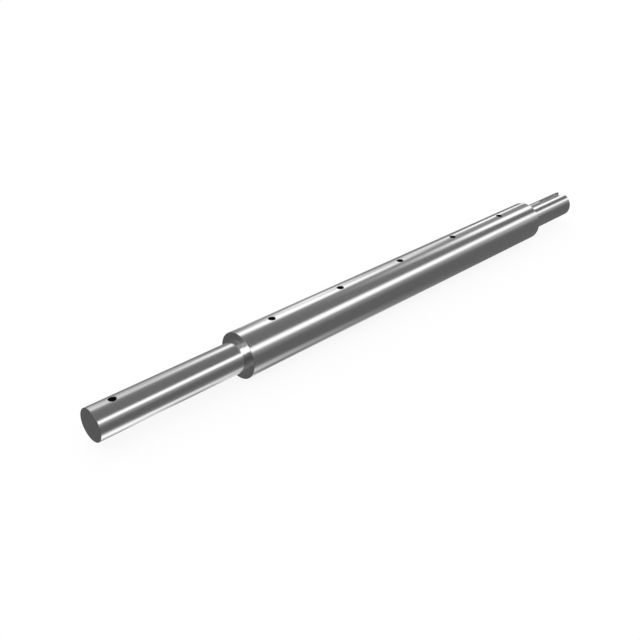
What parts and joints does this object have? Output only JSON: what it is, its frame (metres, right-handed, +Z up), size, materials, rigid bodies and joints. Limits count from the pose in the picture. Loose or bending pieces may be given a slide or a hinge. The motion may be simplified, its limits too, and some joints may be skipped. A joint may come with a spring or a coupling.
{
  "type": "auger shaft",
  "caption": "Solid steel auger shaft with a plain journal, a thick cross-drilled body and a keyed drive stub.",
  "frame": {"origin": "centre of the journal's end face, on the shaft's axis", "axes": "+X along the shaft from the journal to the drive stub, +Z up along the cross holes, towards the keyway"},
  "size_m": [0.5858, 0.0382, 0.0382],
  "materials": {
    "turned_steel": "bright turned and fine ground"
  },
  "bodies": {
    "root": {"auger_shaft": "turned_steel"}
  },
  "joints": []
}
